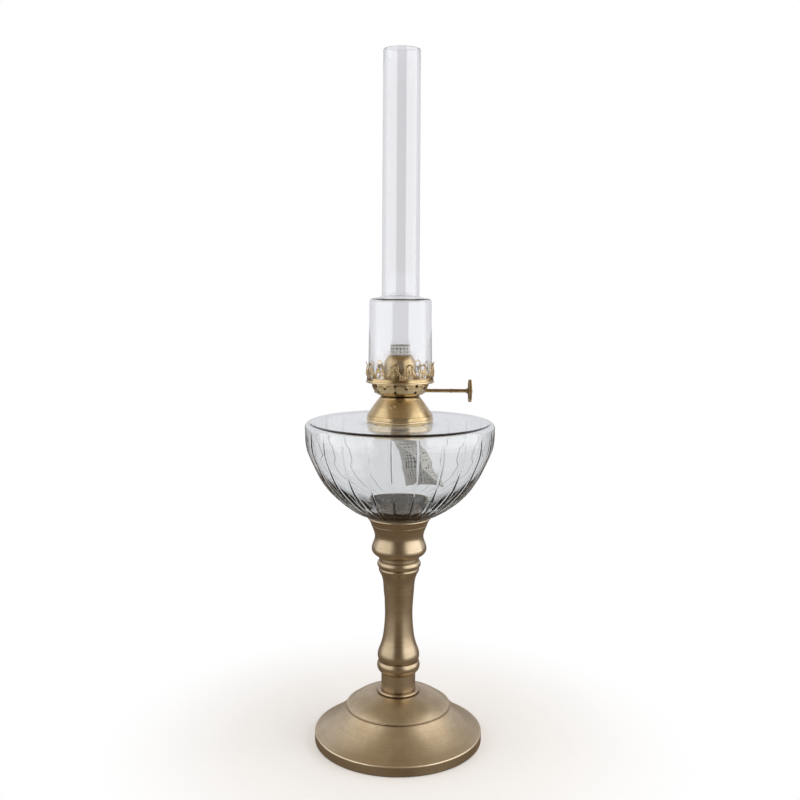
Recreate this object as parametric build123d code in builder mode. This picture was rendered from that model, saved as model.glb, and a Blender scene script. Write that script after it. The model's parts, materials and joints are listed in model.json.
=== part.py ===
from build123d import *
from math import atan2, cos, degrees, pi, radians, sin, sqrt
import os

# Table oil lamp with a round-wick burner. Millimetres, +Z up, +X along the winder spindle,
# origin at the centre of the foot's underside.

# Foot
foot_radius = 70.6
foot_rim_height = 8.4
foot_step_radius = 43.7
foot_step_height = 29.6
foot_bead = 0.9
foot_step_rise = 1.0
foot_crown_radius = 20.0
foot_height = 41.6
foot_wall = 3.5
foot_flange_sag = 1.2
foot_dome_rise = 2.2

# Column pieces, stacked from the foot up
foot_ring_radius = 17.6
foot_ring_height = 2.2
sleeve_radius = 14.4
sleeve_height = 15.6
lower_ring_radius = 18.0
lower_ring_height = 9.6
baluster_base_radius = 16.4
baluster_belly_radius = 17.6
baluster_waist_radius = 11.6
baluster_head_radius = 16.9
baluster_height = 80.4
baluster_core_radius = 7.2
baluster_web = 6.0
upper_ring_radius = 18.2
upper_neck_radius = 16.7
upper_ring_height = 9.2
cup_bulge_radius = 22.9
cup_waist_radius = 20.3
cup_lip_radius = 26.4
cup_lip_bead = 0.9
cup_height = 34.2
cup_floor = 4.0
cup_cavity_radius = 16.6

# Tie rod and its fastenings
rod_radius = 3.0
rod_clearance = 0.3
rod_tail = 5.0
nut_across_flats = 10.0
nut_height = 5.0
washer_radius = 8.0
washer_thickness = 1.4

# Glass font
font_radius = 77.9
font_belly_height = 70.0
font_height = 79.5
font_seat_radius = 24.5
font_wall = 2.6
font_floor = 6.8
font_shoulder = 4.6
font_neck_radius = 24.6
font_neck_height = 3.0
font_mouth_radius = 22.2
peg_radius = 13.8
peg_length = 16.5
cement_floor = 1.6

# Threaded collar, seal and burner base
sheet = 0.6
collar_bore_radius = 20.45
collar_depth = 9.0
collar_skirt_gap = 0.8
collar_rise = 0.5
skirt_clearance = 0.3
thread_clearance = 0.05
spigot_length = 9.0
seal_thickness = 0.6
rim_radius = 27.7
rim_bead = 2.2
cone_top_radius = 17.0
cone_height = 14.2
cone_bulge = 0.25
groove_radius = 15.0
groove_height = 1.2
button_radius = 2.4
button_height = 0.7
button_angle = -16.0
button_share = 0.64
button_gap = 0.05

# Air basket and gallery
basket_base_radius = 14.3
basket_top_radius = 23.3
basket_height = 11.6
hole_columns = 8
diamond_width = 2.4
diamond_height = 2.8
dot_radius = 0.95
hole_start_angle = -10.0
upper_hole_share = 0.86
middle_hole_share = 0.66
lower_hole_share = 0.42
gallery_radius = 27.9
gallery_bead = 1.0
gallery_floor = 0.8
deck_hole_count = 24
deck_hole_radius = 1.1

# Crown of spring prongs
prong_count = 14
crown_start_angle = -9.5
crown_band = 3.4
crown_height = 16.2
crown_gap = 0.45
crown_bulge = 0.7
prong_slot_width = 2.2
prong_hole_width = 2.6

# Wick, its tubes and the domed air cone
wick_outer_radius = 8.2
wick_thickness = 1.8
wick_gap = 0.3
wick_stand = 8.1
wick_seam_height = 15.0
duct_width = 4.0
duct_height = 8.0
duct_clearance = 0.9
tube_foot_drop = 9.0
ring_tail_drop = 10.0
tail_length = 45.0
tail_radius = 16.0
tail_opening = 190.0
tail_open_towards = 250.0
slit_length = 26.0
slit_width = 11.0
tail_drift_x = 21.0
tail_drift_y = 4.0
dome_radius = 13.0
dome_height = 21.5
dome_shoulder = 6.5
dome_slope = 0.26

# Winder
spindle_radius = 1.5
spindle_offset = 11.0
spindle_rise = 3.6
spindle_reach = 56.8
running_clearance = 0.05
wheel_radius = 3.0
wheel_root_radius = 2.3
wheel_teeth = 12
wheel_width = 1.8
wheel_spacing = 3.0
bush_radius = 2.5
bush_length = 7.0
bush_setback = 1.1
bush_wall_share = 0.65
nub_setback = 0.6
nub_radius = 2.2
nub_length = 1.8
ferrule_place = 42.0
ferrule_radius = 1.75
ferrule_length = 1.2
knob_radius = 9.4
knob_thickness = 2.4
knob_hub_radius = 2.3
knob_hub_length = 1.8
rivet_radius = 1.7
rivet_height = 0.9

# Chimney
chimney_foot_radius = 26.2
chimney_barrel_radius = 25.3
chimney_barrel_height = 67.4
chimney_tube_radius = 15.3
chimney_mouth_radius = 14.95
chimney_height = 262.2
chimney_wall = 1.5
chimney_corner = 3.0
chimney_shoulder_rise = 0.8

# Levels up the lamp
foot_ring_level = foot_height
sleeve_level = foot_ring_level + foot_ring_height
lower_ring_level = sleeve_level + sleeve_height
baluster_level = lower_ring_level + lower_ring_height
upper_ring_level = baluster_level + baluster_height
cup_level = upper_ring_level + upper_ring_height
font_level = cup_level + cup_height
font_top = font_level + font_height
neck_top = font_top + font_neck_height
collar_top = neck_top + collar_rise + sheet
seal_top = collar_top + seal_thickness
cone_level = seal_top + sheet
cone_top = cone_level + cone_height
basket_level = cone_top + groove_height
gallery_level = basket_level + basket_height
seat_level = gallery_level + gallery_floor
dome_top = seat_level + dome_height
spindle_level = basket_level + spindle_rise
bore_radius = rod_radius + rod_clearance
crown_inner = chimney_foot_radius + crown_gap

os.makedirs("parts", exist_ok=True)


def save(builder, name):
    builder.part.label = name
    export_step(builder.part, f"parts/{name}.step")


def rims(builder, radius, level=None):
    """Circular edges of a radius, at one level where that is given."""
    found = builder.edges().filter_by(GeomType.CIRCLE).filter_by(lambda e: abs(e.radius - radius) < 1e-6)
    if level is None:
        return found
    return found.filter_by(lambda e: abs(e.arc_center.Z - level) < 1e-6)


def polar(radius, angle):
    """Point at an angle in degrees from the front of the lamp, positive towards +X."""
    return (radius * sin(radians(angle)), -radius * cos(radians(angle)))


def turn_block(*corners):
    """Revolve a straight-sided section, given as (radius, level) corners, about the lamp's axis."""
    with BuildSketch(Plane.XZ) as section:
        with BuildLine():
            Polyline(*corners, close=True)
        make_face()
    revolve(section.sketch, axis=Axis.Z)


def turn_ring(inner, outer, low, high):
    turn_block((inner, low), (outer, low), (outer, high), (inner, high))


# --- Foot ---
flange_middle = (
    (foot_radius + foot_step_radius) / 2 - foot_flange_sag,
    (foot_rim_height + foot_step_height) / 2 - foot_flange_sag,
)
step_top = foot_step_height + foot_step_rise
dome_start = (foot_step_radius - foot_bead, step_top)
dome_middle = (
    (dome_start[0] + foot_crown_radius) / 2,
    (step_top + foot_height) / 2 + foot_dome_rise,
)
inner_step_radius = foot_step_radius - foot_wall
inner_crown_level = foot_height - foot_wall

with BuildPart() as foot:
    with BuildSketch(Plane.XZ):
        with BuildLine():
            Line((foot_radius - foot_wall, 0), (foot_radius, 0))
            Line((foot_radius, 0), (foot_radius, foot_rim_height))
            ThreePointArc((foot_radius, foot_rim_height), flange_middle, (foot_step_radius, foot_step_height))
            ThreePointArc(
                (foot_step_radius, foot_step_height),
                (foot_step_radius + foot_bead / 3, foot_step_height + 0.6 * foot_step_rise),
                dome_start,
            )
            ThreePointArc(dome_start, dome_middle, (foot_crown_radius, foot_height))
            Line((foot_crown_radius, foot_height), (bore_radius, foot_height))
            Line((bore_radius, foot_height), (bore_radius, inner_crown_level))
            Line((bore_radius, inner_crown_level), (foot_crown_radius, inner_crown_level))
            Line((foot_crown_radius, inner_crown_level), (inner_step_radius, foot_step_height - foot_wall))
            ThreePointArc(
                (inner_step_radius, foot_step_height - foot_wall),
                (flange_middle[0] - foot_wall, flange_middle[1] - foot_wall),
                (foot_radius - foot_wall, foot_rim_height - foot_wall),
            )
            Line((foot_radius - foot_wall, foot_rim_height - foot_wall), (foot_radius - foot_wall, 0))
        make_face()
    revolve(axis=Axis.Z)
    fillet(rims(foot, foot_radius), radius=min(0.9, foot_wall / 4))
save(foot, "foot")

# --- Column ---
with BuildPart() as foot_ring:
    turn_ring(bore_radius, foot_ring_radius, foot_ring_level, sleeve_level)
    fillet(rims(foot_ring, foot_ring_radius), radius=foot_ring_height * 0.45)
save(foot_ring, "foot_ring")

with BuildPart() as column_sleeve:
    turn_ring(bore_radius, sleeve_radius, sleeve_level, lower_ring_level)
save(column_sleeve, "column_sleeve")

with BuildPart() as lower_ring:
    with BuildSketch(Plane.XZ):
        with BuildLine():
            Line((bore_radius, lower_ring_level), (sleeve_radius + 1, lower_ring_level))
            ThreePointArc(
                (sleeve_radius + 1, lower_ring_level),
                (lower_ring_radius, lower_ring_level + lower_ring_height / 2),
                (baluster_base_radius + 0.3, baluster_level),
            )
            Line((baluster_base_radius + 0.3, baluster_level), (bore_radius, baluster_level))
            Line((bore_radius, baluster_level), (bore_radius, lower_ring_level))
        make_face()
    revolve(axis=Axis.Z)
save(lower_ring, "lower_ring")

# Turning points of the baluster, as shares of its height and of the swell above its waist
belly_turns = ((0.055, 1.0), (0.175, 0.56), (0.345, 0.125))
waist_share = 0.53
head_turns = ((0.77, 0.23), (0.94, 0.76), (0.985, 1.0))
belly_swell = baluster_belly_radius - baluster_waist_radius
head_swell = baluster_head_radius - baluster_waist_radius


def up_baluster(share):
    return baluster_level + share * baluster_height


with BuildPart() as baluster:
    with BuildSketch(Plane.XZ):
        with BuildLine():
            Spline(
                (baluster_base_radius, baluster_level),
                *[(baluster_waist_radius + swell * belly_swell, up_baluster(share)) for share, swell in belly_turns],
                (baluster_waist_radius, up_baluster(waist_share)),
                *[(baluster_waist_radius + swell * head_swell, up_baluster(share)) for share, swell in head_turns],
                (baluster_head_radius - 0.6, upper_ring_level),
            )
            Polyline(
                (baluster_head_radius - 0.6, upper_ring_level),
                (bore_radius, upper_ring_level),
                (bore_radius, upper_ring_level - baluster_web),
                (baluster_core_radius, upper_ring_level - baluster_web),
                (baluster_core_radius, baluster_level + baluster_web),
                (bore_radius, baluster_level + baluster_web),
                (bore_radius, baluster_level),
                (baluster_base_radius, baluster_level),
            )
        make_face()
    revolve(axis=Axis.Z)
save(baluster, "baluster")

with BuildPart() as upper_ring:
    with BuildSketch(Plane.XZ):
        with BuildLine():
            Line((bore_radius, upper_ring_level), (upper_neck_radius, upper_ring_level))
            ThreePointArc(
                (upper_neck_radius, upper_ring_level),
                (upper_ring_radius, upper_ring_level + 0.33 * upper_ring_height),
                (upper_neck_radius, upper_ring_level + 0.66 * upper_ring_height),
            )
            Line((upper_neck_radius, upper_ring_level + 0.66 * upper_ring_height), (upper_neck_radius, cup_level))
            Line((upper_neck_radius, cup_level), (bore_radius, cup_level))
            Line((bore_radius, cup_level), (bore_radius, upper_ring_level))
        make_face()
    revolve(axis=Axis.Z)
save(upper_ring, "upper_ring")

cup_shoulder = (cup_lip_radius - cup_lip_bead, font_level - 2 * cup_lip_bead)
with BuildPart() as cup:
    with BuildSketch(Plane.XZ):
        with BuildLine():
            Spline(
                (upper_neck_radius, cup_level),
                (cup_bulge_radius, cup_level + 0.19 * cup_height),
                ((cup_bulge_radius + 2 * cup_waist_radius) / 3, cup_level + 0.39 * cup_height),
                (cup_waist_radius, cup_level + 0.54 * cup_height),
                ((cup_lip_radius + cup_waist_radius) / 2, cup_level + 0.80 * cup_height),
                cup_shoulder,
                tangents=[(1, 0.5), (0.5, 1)],
            )
            ThreePointArc(
                cup_shoulder,
                (cup_lip_radius, font_level - cup_lip_bead),
                (cup_lip_radius - cup_lip_bead, font_level),
            )
            Polyline(
                (cup_lip_radius - cup_lip_bead, font_level),
                (cup_cavity_radius, font_level),
                (cup_cavity_radius, cup_level + cup_floor),
                (bore_radius, cup_level + cup_floor),
                (bore_radius, cup_level),
                (upper_neck_radius, cup_level),
            )
        make_face()
    revolve(axis=Axis.Z)
save(cup, "cup")

# --- Tie rod, nuts and washers ---
foot_washer_level = inner_crown_level - washer_thickness
foot_nut_level = foot_washer_level - nut_height
cup_washer_level = cup_level + cup_floor
cup_nut_level = cup_washer_level + washer_thickness
rod_bottom = foot_nut_level - rod_tail
rod_top = cup_nut_level + nut_height + 1.5

with BuildPart() as tie_rod:
    with BuildSketch(Plane.XY.offset(rod_bottom)):
        Circle(rod_radius)
    extrude(amount=rod_top - rod_bottom)
    chamfer(tie_rod.edges().filter_by(GeomType.CIRCLE), length=0.5)
save(tie_rod, "tie_rod")

for washer_name, washer_level in (("foot_washer", foot_washer_level), ("cup_washer", cup_washer_level)):
    with BuildPart() as washer:
        turn_ring(bore_radius, washer_radius, washer_level, washer_level + washer_thickness)
    save(washer, washer_name)

for nut_name, nut_level in (("foot_nut", foot_nut_level), ("cup_nut", cup_nut_level)):
    with BuildPart() as nut:
        with BuildSketch(Plane.XY.offset(nut_level)):
            RegularPolygon(radius=nut_across_flats / 2, side_count=6, major_radius=False)
            Circle(rod_radius, mode=Mode.SUBTRACT)
        extrude(amount=nut_height)
    save(nut, nut_name)

# --- Glass font and its bedding ---
peg_bottom = font_level - peg_length
font_ceiling = font_top - font_wall
belly_curve = ((0.361, 0.137), (0.732, 0.427), (0.927, 0.727))


def belly_point(reach, rise, inset, lift):
    """Point on the font's belly curve, moved in by the wall and up by the floor near the bottom."""
    radius = font_seat_radius + reach * (font_radius - font_seat_radius) - inset * (0.35 + 0.65 * reach)
    return (radius, font_level + rise * font_belly_height + lift * (1 - rise) ** 2)


outer_belly = [belly_point(reach, rise, 0, 0) for reach, rise in belly_curve]
inner_belly = [belly_point(reach, rise, font_wall, font_floor) for reach, rise in reversed(belly_curve)]
belly_top = font_level + font_belly_height

with BuildPart() as font:
    with BuildSketch(Plane.XZ):
        with BuildLine():
            Spline(
                (font_seat_radius, font_level),
                *outer_belly,
                (font_radius, belly_top),
                tangents=[(1, 0.25), (0, 1)],
            )
            Line((font_radius, belly_top), (font_radius, font_top - font_shoulder))
            RadiusArc(
                (font_radius, font_top - font_shoulder),
                (font_radius - font_shoulder, font_top),
                -font_shoulder,
            )
            Polyline(
                (font_radius - font_shoulder, font_top),
                (font_neck_radius, font_top),
                (font_neck_radius, neck_top),
                (font_mouth_radius, neck_top),
                (font_mouth_radius, font_ceiling),
                (font_radius - font_shoulder, font_ceiling),
            )
            RadiusArc(
                (font_radius - font_shoulder, font_ceiling),
                (font_radius - font_wall, font_top - font_shoulder),
                font_shoulder - font_wall,
            )
            Line((font_radius - font_wall, font_top - font_shoulder), (font_radius - font_wall, belly_top))
            Spline(
                (font_radius - font_wall, belly_top),
                *inner_belly,
                (0, font_level + font_floor),
                tangents=[(0, -1), (-1, 0)],
            )
            Polyline(
                (0, font_level + font_floor),
                (0, peg_bottom),
                (peg_radius, peg_bottom),
                (peg_radius, font_level),
                (font_seat_radius, font_level),
            )
        make_face()
    revolve(axis=Axis.Z)
save(font, "font")

with BuildPart() as font_cement:
    turn_block(
        (0, peg_bottom - cement_floor),
        (cup_cavity_radius, peg_bottom - cement_floor),
        (cup_cavity_radius, font_level),
        (peg_radius, font_level),
        (peg_radius, peg_bottom),
        (0, peg_bottom),
    )
save(font_cement, "font_cement")

# --- Collar on the glass neck, and the seal ---
sleeve_outer = collar_bore_radius + sheet
skirt_inner = font_neck_radius + collar_skirt_gap
skirt_outer = skirt_inner + sheet
flange_under = collar_top - sheet
sleeve_bottom = collar_top - collar_depth

with BuildPart() as font_collar:
    turn_block(
        (collar_bore_radius, sleeve_bottom),
        (sleeve_outer, sleeve_bottom),
        (sleeve_outer, flange_under),
        (skirt_inner, flange_under),
        (skirt_inner, font_top),
        (skirt_outer, font_top),
        (skirt_outer, collar_top),
        (collar_bore_radius, collar_top),
    )
save(font_collar, "font_collar")

with BuildPart() as collar_cement:
    turn_block(
        (sleeve_outer, font_ceiling + 0.5),
        (font_mouth_radius, font_ceiling + 0.5),
        (font_mouth_radius, neck_top),
        (font_neck_radius, neck_top),
        (font_neck_radius, font_top),
        (skirt_inner, font_top),
        (skirt_inner, flange_under),
        (sleeve_outer, flange_under),
    )
save(collar_cement, "collar_cement")

spigot_radius = collar_bore_radius - thread_clearance
with BuildPart() as seal_ring:
    turn_ring(spigot_radius + thread_clearance, skirt_outer, collar_top, seal_top)
save(seal_ring, "seal_ring")

# --- Burner base ---
rim_inner = skirt_outer + skirt_clearance
rim_bottom = font_top + skirt_clearance
with BuildPart() as burner_rim:
    with BuildSketch(Plane.XZ):
        with BuildLine():
            Polyline(
                (rim_inner, rim_bottom),
                (rim_inner + sheet, rim_bottom),
                (rim_inner + sheet, rim_bottom + 0.4),
            )
            ThreePointArc(
                (rim_inner + sheet, rim_bottom + 0.4),
                (rim_radius, rim_bottom + 0.4 + rim_bead / 2),
                (rim_inner + sheet, rim_bottom + 0.4 + rim_bead),
            )
            Polyline(
                (rim_inner + sheet, rim_bottom + 0.4 + rim_bead),
                (rim_inner + sheet, cone_level),
                (spigot_radius - sheet, cone_level),
                (spigot_radius - sheet, seal_top - spigot_length),
                (spigot_radius, seal_top - spigot_length),
                (spigot_radius, seal_top),
                (rim_inner, seal_top),
                (rim_inner, rim_bottom),
            )
        make_face()
    revolve(axis=Axis.Z)
save(burner_rim, "burner_rim")

tube_inner = wick_outer_radius + wick_gap
tube_outer = tube_inner + sheet
cone_foot_radius = rim_inner + sheet
cone_slope = atan2(cone_foot_radius - cone_top_radius, cone_height)


def cone_point(share, lift=0):
    """Point on the cone's outline, a share of the way up and lifted square to the surface."""
    radius = cone_foot_radius + share * (cone_top_radius - cone_foot_radius)
    rise = cone_bulge * (1 - (2 * share - 1) ** 2) + lift
    return (radius + rise * cos(cone_slope), cone_level + share * cone_height + rise * sin(cone_slope))


button_seat_radius, button_level = cone_point(button_share, button_gap)
button_plane = Plane(
    origin=(*polar(button_seat_radius, button_angle), button_level),
    z_dir=(*polar(cos(cone_slope), button_angle), sin(cone_slope)),
)

with BuildPart() as burner_cone:
    with BuildSketch(Plane.XZ):
        with BuildLine():
            ThreePointArc((cone_foot_radius, cone_level), cone_point(0.5), (cone_top_radius, cone_top))
            Polyline(
                (cone_top_radius, cone_top),
                (groove_radius, cone_top),
                (groove_radius, basket_level),
                (tube_outer, basket_level),
                (tube_outer, cone_top - sheet),
                (cone_top_radius - sheet, cone_top - sheet),
            )
            ThreePointArc(
                (cone_top_radius - sheet, cone_top - sheet),
                cone_point(0.5, -sheet),
                (cone_foot_radius - 1.4 * sheet, cone_level),
            )
            Line((cone_foot_radius - 1.4 * sheet, cone_level), (cone_foot_radius, cone_level))
        make_face()
    revolve(axis=Axis.Z)
    with BuildSketch(button_plane.offset(-2 * sheet)):
        Circle(button_radius / 2)
    extrude(amount=4 * sheet, mode=Mode.SUBTRACT)
save(burner_cone, "burner_cone")

with BuildPart() as cone_button:
    with BuildSketch(button_plane):
        Circle(button_radius)
    extrude(amount=button_height)
    fillet(cone_button.edges().group_by(Axis.Z)[-1], radius=button_height * 0.4)
    with BuildSketch(button_plane.offset(-2 * sheet)):
        Circle(button_radius / 2 - thread_clearance)
    extrude(amount=2 * sheet)
    with BuildSketch(button_plane.offset(button_height)):
        Circle(button_radius * 0.45)
    extrude(amount=-button_height / 2, mode=Mode.SUBTRACT)
save(cone_button, "cone_button")

# --- Air basket ---
basket_middle = (
    basket_base_radius + 0.68 * (basket_top_radius - basket_base_radius),
    basket_level + 0.32 * basket_height,
)


def basket_tool(angle, level, shape):
    """Cutter that pierces the basket wall square to the lamp's axis at an angle and level."""
    aim = polar(1, angle)
    plane = Plane(origin=(0, 0, level), x_dir=(cos(radians(angle)), sin(radians(angle)), 0), z_dir=(*aim, 0))
    with BuildSketch(plane) as opening:
        if shape == "diamond":
            half_width = diamond_width / 2
            half_height = diamond_height / 2
            Polygon((half_width, 0), (0, half_height), (-half_width, 0), (0, -half_height), align=None)
        else:
            Circle(dot_radius)
    extrude(opening.sketch, amount=gallery_radius, mode=Mode.SUBTRACT)


bush_level_radius = basket_base_radius + bush_wall_share * (basket_top_radius - basket_base_radius)
bush_face = sqrt(bush_level_radius ** 2 - spindle_offset ** 2)

with BuildPart() as basket:
    with BuildSketch(Plane.XZ):
        with BuildLine():
            ThreePointArc(
                (basket_base_radius, basket_level),
                basket_middle,
                (basket_top_radius, gallery_level),
            )
            Line((basket_top_radius, gallery_level), (basket_top_radius - sheet, gallery_level))
            ThreePointArc(
                (basket_top_radius - sheet, gallery_level),
                (basket_middle[0] - sheet, basket_middle[1] + sheet / 2),
                (basket_base_radius - sheet / 2, basket_level + sheet),
            )
            Polyline(
                (basket_base_radius - sheet / 2, basket_level + sheet),
                (tube_outer, basket_level + sheet),
                (tube_outer, basket_level),
                (basket_base_radius, basket_level),
            )
        make_face()
    revolve(axis=Axis.Z)
    for column in range(hole_columns):
        column_angle = hole_start_angle + column * 360 / hole_columns
        basket_tool(column_angle, basket_level + upper_hole_share * basket_height, "diamond")
        basket_tool(column_angle, basket_level + lower_hole_share * basket_height, "diamond")
        basket_tool(column_angle + 180 / hole_columns, basket_level + middle_hole_share * basket_height, "dot")
    with BuildSketch(Plane.YZ.offset(-gallery_radius)):
        with Locations((spindle_offset, spindle_level)):
            Circle(bush_radius)
    extrude(amount=2 * gallery_radius, mode=Mode.SUBTRACT)
save(basket, "basket")

# --- Gallery, crown and air cone ---
crown_outer = crown_inner + sheet
with BuildPart() as gallery:
    with BuildSketch(Plane.XZ):
        with BuildLine():
            Polyline(
                (basket_top_radius - sheet, gallery_level),
                (gallery_radius - gallery_bead, gallery_level),
            )
            ThreePointArc(
                (gallery_radius - gallery_bead, gallery_level),
                (gallery_radius, gallery_level + gallery_bead),
                (gallery_radius - gallery_bead / 2, gallery_level + 1.8 * gallery_bead),
            )
            Polyline(
                (gallery_radius - gallery_bead / 2, gallery_level + 1.8 * gallery_bead),
                (crown_outer, gallery_level + 1.8 * gallery_bead),
                (crown_outer, seat_level),
                (basket_top_radius - sheet, seat_level),
                (basket_top_radius - sheet, gallery_level),
            )
        make_face()
    revolve(axis=Axis.Z)
save(gallery, "gallery")

crown_top = seat_level + crown_height
slot_bottom = seat_level + crown_band
crown_swell = (crown_outer + crown_bulge, seat_level + 0.42 * crown_height)
crown_waist = (crown_outer + 0.1, seat_level + 0.76 * crown_height)
crown_tip = (crown_outer + 0.9, crown_top)


def shifted(points, distance):
    return [(radius - distance, level) for radius, level in points]


crown_line = [(crown_outer, slot_bottom), crown_swell, crown_waist, crown_tip]
with BuildPart() as crown:
    with BuildSketch(Plane.XZ):
        with BuildLine():
            Line((crown_inner, seat_level), (crown_outer, seat_level))
            Line((crown_outer, seat_level), (crown_outer, slot_bottom))
            Spline(*crown_line, tangents=[(0, 1), (0.5, 1)])
            Line(crown_tip, shifted([crown_tip], sheet)[0])
            Spline(*reversed(shifted(crown_line, sheet)), tangents=[(-0.5, -1), (0, -1)])
            Line((crown_inner, slot_bottom), (crown_inner, seat_level))
        make_face()
    revolve(axis=Axis.Z)
    for prong in range(prong_count):
        hole_angle = crown_start_angle + prong * 360 / prong_count
        slot_angle = hole_angle + 180 / prong_count
        for angle, width, low, high in (
            (slot_angle, prong_slot_width, slot_bottom, crown_top + 1),
            (hole_angle, prong_hole_width, slot_bottom + 0.3 * crown_height, slot_bottom + 0.62 * crown_height),
        ):
            aim = polar(1, angle)
            face = Plane(
                origin=(0, 0, (low + high) / 2),
                x_dir=(cos(radians(angle)), sin(radians(angle)), 0),
                z_dir=(*aim, 0),
            )
            with BuildSketch(face):
                Rectangle(width, high - low)
            extrude(amount=2 * gallery_radius, mode=Mode.SUBTRACT)
save(crown, "crown")

deck_level = seat_level
deck_rim_radius = basket_top_radius - sheet
dome_hole = tube_outer + thread_clearance
with BuildPart() as air_cone:
    with BuildSketch(Plane.XZ):
        with BuildLine():
            Polyline(
                (dome_radius + 0.6, deck_level),
                (deck_rim_radius + 1.2, deck_level),
                (deck_rim_radius + 1.2, deck_level + sheet),
                (dome_radius + 0.6, deck_level + sheet),
                (dome_radius, dome_top - dome_shoulder),
            )
            ThreePointArc(
                (dome_radius, dome_top - dome_shoulder),
                (dome_radius - dome_slope * dome_shoulder, dome_top - 0.42 * dome_shoulder),
                (dome_hole, dome_top),
            )
            Line((dome_hole, dome_top), (dome_hole, dome_top - sheet))
            ThreePointArc(
                (dome_hole, dome_top - sheet),
                (dome_radius - dome_slope * dome_shoulder - sheet, dome_top - 0.42 * dome_shoulder - sheet / 2),
                (dome_radius - sheet, dome_top - dome_shoulder),
            )
            Line((dome_radius - sheet, dome_top - dome_shoulder), (dome_radius, deck_level))
            Line((dome_radius, deck_level), (dome_radius + 0.6, deck_level))
        make_face()
    revolve(axis=Axis.Z)
    with BuildSketch(Plane.XY.offset(deck_level)):
        with PolarLocations((dome_radius + deck_rim_radius) / 2 + 0.6, deck_hole_count):
            Circle(deck_hole_radius)
    extrude(amount=sheet, mode=Mode.SUBTRACT)
save(air_cone, "air_cone")

# --- Wick tubes ---
air_outer = wick_outer_radius - wick_thickness - wick_gap
air_inner = air_outer - sheet
tube_bottom = cone_level - tube_foot_drop
duct_middle = basket_level + basket_height / 2
wheel_slot_width = 2 * (wheel_spacing + wheel_width)

with BuildPart() as wick_tube:
    turn_ring(tube_inner, tube_outer, tube_bottom, dome_top - 0.2)
    with BuildSketch(Plane.YZ):
        with Locations((0, duct_middle)):
            Rectangle(duct_width, duct_height)
    extrude(amount=-2 * tube_outer, mode=Mode.SUBTRACT)
    with BuildSketch(Plane.XZ):
        with Locations((0, spindle_level)):
            Rectangle(wheel_slot_width, 2 * wheel_radius)
    extrude(amount=-2 * tube_outer, mode=Mode.SUBTRACT)
save(wick_tube, "wick_tube")

with BuildPart() as air_tube:
    turn_ring(air_inner, air_outer, duct_middle - duct_height, dome_top - 1.2)
    with BuildSketch(Plane.XY.offset(duct_middle - duct_height)):
        Circle(air_outer)
    extrude(amount=sheet)
    with BuildSketch(Plane.YZ):
        with Locations((0, duct_middle)):
            Rectangle(duct_width, duct_height)
    extrude(amount=-(tube_outer + sheet))
    with BuildSketch(Plane.XY.offset(duct_middle - duct_height + sheet)):
        Circle(air_inner)
    extrude(amount=dome_top - duct_middle + duct_height, mode=Mode.SUBTRACT)
    with BuildSketch(Plane.YZ):
        with Locations((0, duct_middle)):
            Rectangle(duct_width - 2 * sheet, duct_height - 2 * sheet)
    extrude(amount=-2 * tube_outer, mode=Mode.SUBTRACT)
save(air_tube, "air_tube")

# --- Wick ---
wick_top = dome_top + wick_stand
wick_inner_radius = wick_outer_radius - wick_thickness
ring_bottom = tube_bottom - ring_tail_drop
seam_level = wick_top - wick_seam_height
seam_width = duct_width + 2 * duct_clearance
wick_middle_radius = wick_outer_radius - wick_thickness / 2
seam_half_angle = degrees(seam_width / 2 / wick_middle_radius)


def channel_face(level, centre, radius, open_angle, open_towards):
    """Closed C of the wick's thickness at a level, its opening facing an angle in degrees from +X."""
    start = open_towards + open_angle / 2
    sweep_angle = 360 - open_angle
    with BuildSketch(Plane.XY.offset(level)) as section:
        with BuildLine():
            outside = CenterArc(centre, radius + wick_thickness / 2, start, sweep_angle)
            inside = CenterArc(centre, radius - wick_thickness / 2, start, sweep_angle)
            Line(outside @ 0, inside @ 0)
            Line(outside @ 1, inside @ 1)
        make_face()
    return section.sketch


# The slit lies in the channel's back, and drifts sideways with it
back_angle = radians(tail_open_towards - 180)
slit_plane = Plane(
    origin=(0, 0, ring_bottom - 1),
    x_dir=(sin(back_angle), -cos(back_angle), 0),
    z_dir=(cos(back_angle), sin(back_angle), 0),
)
slit_drift = 0.7 * slit_length / tail_length * (tail_drift_x * sin(back_angle) - tail_drift_y * cos(back_angle))

with BuildPart() as wick:
    turn_ring(wick_inner_radius, wick_outer_radius, ring_bottom, wick_top)
    with BuildSketch(Plane.XY.offset(ring_bottom)):
        with Locations((-wick_middle_radius, 0)):
            Rectangle(2 * wick_thickness + wick_gap, seam_width)
    extrude(amount=seam_level - ring_bottom, mode=Mode.SUBTRACT)
    neck_section = channel_face(ring_bottom, (0, 0), wick_middle_radius, 2 * seam_half_angle, 180)
    tail_centre = (tail_drift_x, tail_drift_y)
    tail_section = channel_face(ring_bottom - tail_length, tail_centre, tail_radius, tail_opening, tail_open_towards)
    loft(sections=[neck_section, tail_section])
    with BuildSketch(slit_plane):
        Polygon(
            (-slit_width / 4, 0),
            (slit_width / 4, 0),
            (slit_drift + slit_width / 2, 0.6 * slit_length),
            (slit_drift, slit_length),
            (slit_drift - slit_width / 2, 0.6 * slit_length),
            align=None,
        )
    extrude(amount=2 * tail_radius, mode=Mode.SUBTRACT)
save(wick, "wick")

# --- Winder ---
spindle_plane = Plane(origin=(0, spindle_offset, spindle_level), x_dir=(0, 1, 0), z_dir=(1, 0, 0))
bush_centre = bush_face - bush_setback
nub_start = nub_setback - bush_level_radius

with BuildPart() as spindle:
    with BuildSketch(spindle_plane.offset(nub_start)):
        Circle(spindle_radius)
    extrude(amount=spindle_reach - nub_start)
save(spindle, "spindle")


def collar_on_spindle(start, length, radius, bore):
    with BuildSketch(spindle_plane.offset(start)) as section:
        Circle(radius)
        Circle(bore, mode=Mode.SUBTRACT)
    extrude(section.sketch, amount=length)


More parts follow.
